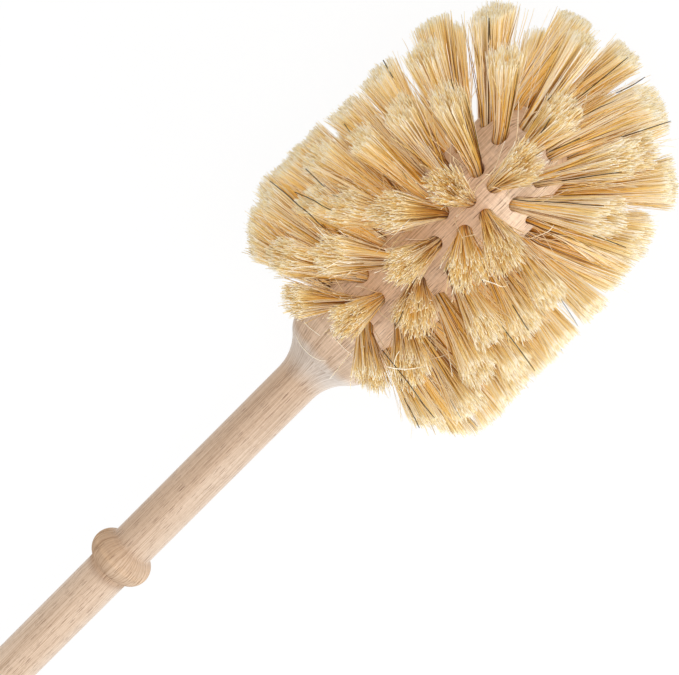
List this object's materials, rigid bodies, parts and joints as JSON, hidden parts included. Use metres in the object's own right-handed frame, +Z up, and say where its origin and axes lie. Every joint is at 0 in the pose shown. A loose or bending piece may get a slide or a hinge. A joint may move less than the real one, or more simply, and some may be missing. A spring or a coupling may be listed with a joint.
{
  "type": "toilet brush",
  "caption": "Toilet brush: a one-piece turned beech handle with a ring bead and a domed head, set all round with trimmed tufts of stiff plant fibre.",
  "frame": {"origin": "middle of the flat on the butt of the handle, on the brush's axis", "axes": "+X along the brush's axis from the butt to the domed tip; +Z up, away from the surface that the lowest tufts lie on"},
  "size_m": [0.3895, 0.1197, 0.1189],
  "materials": {
    "beech": "matte",
    "plant_fibre": "matte"
  },
  "bodies": {
    "root": {"turned_handle": "beech", "tuft_ring_1": "plant_fibre", "tuft_ring_2": "plant_fibre", "tuft_ring_3": "plant_fibre", "tuft_ring_4": "plant_fibre", "tuft_ring_5": "plant_fibre", "tuft_ring_6": "plant_fibre", "tuft_ring_7": "plant_fibre", "tuft_ring_8": "plant_fibre", "tuft_crown": "plant_fibre"}
  },
  "joints": []
}
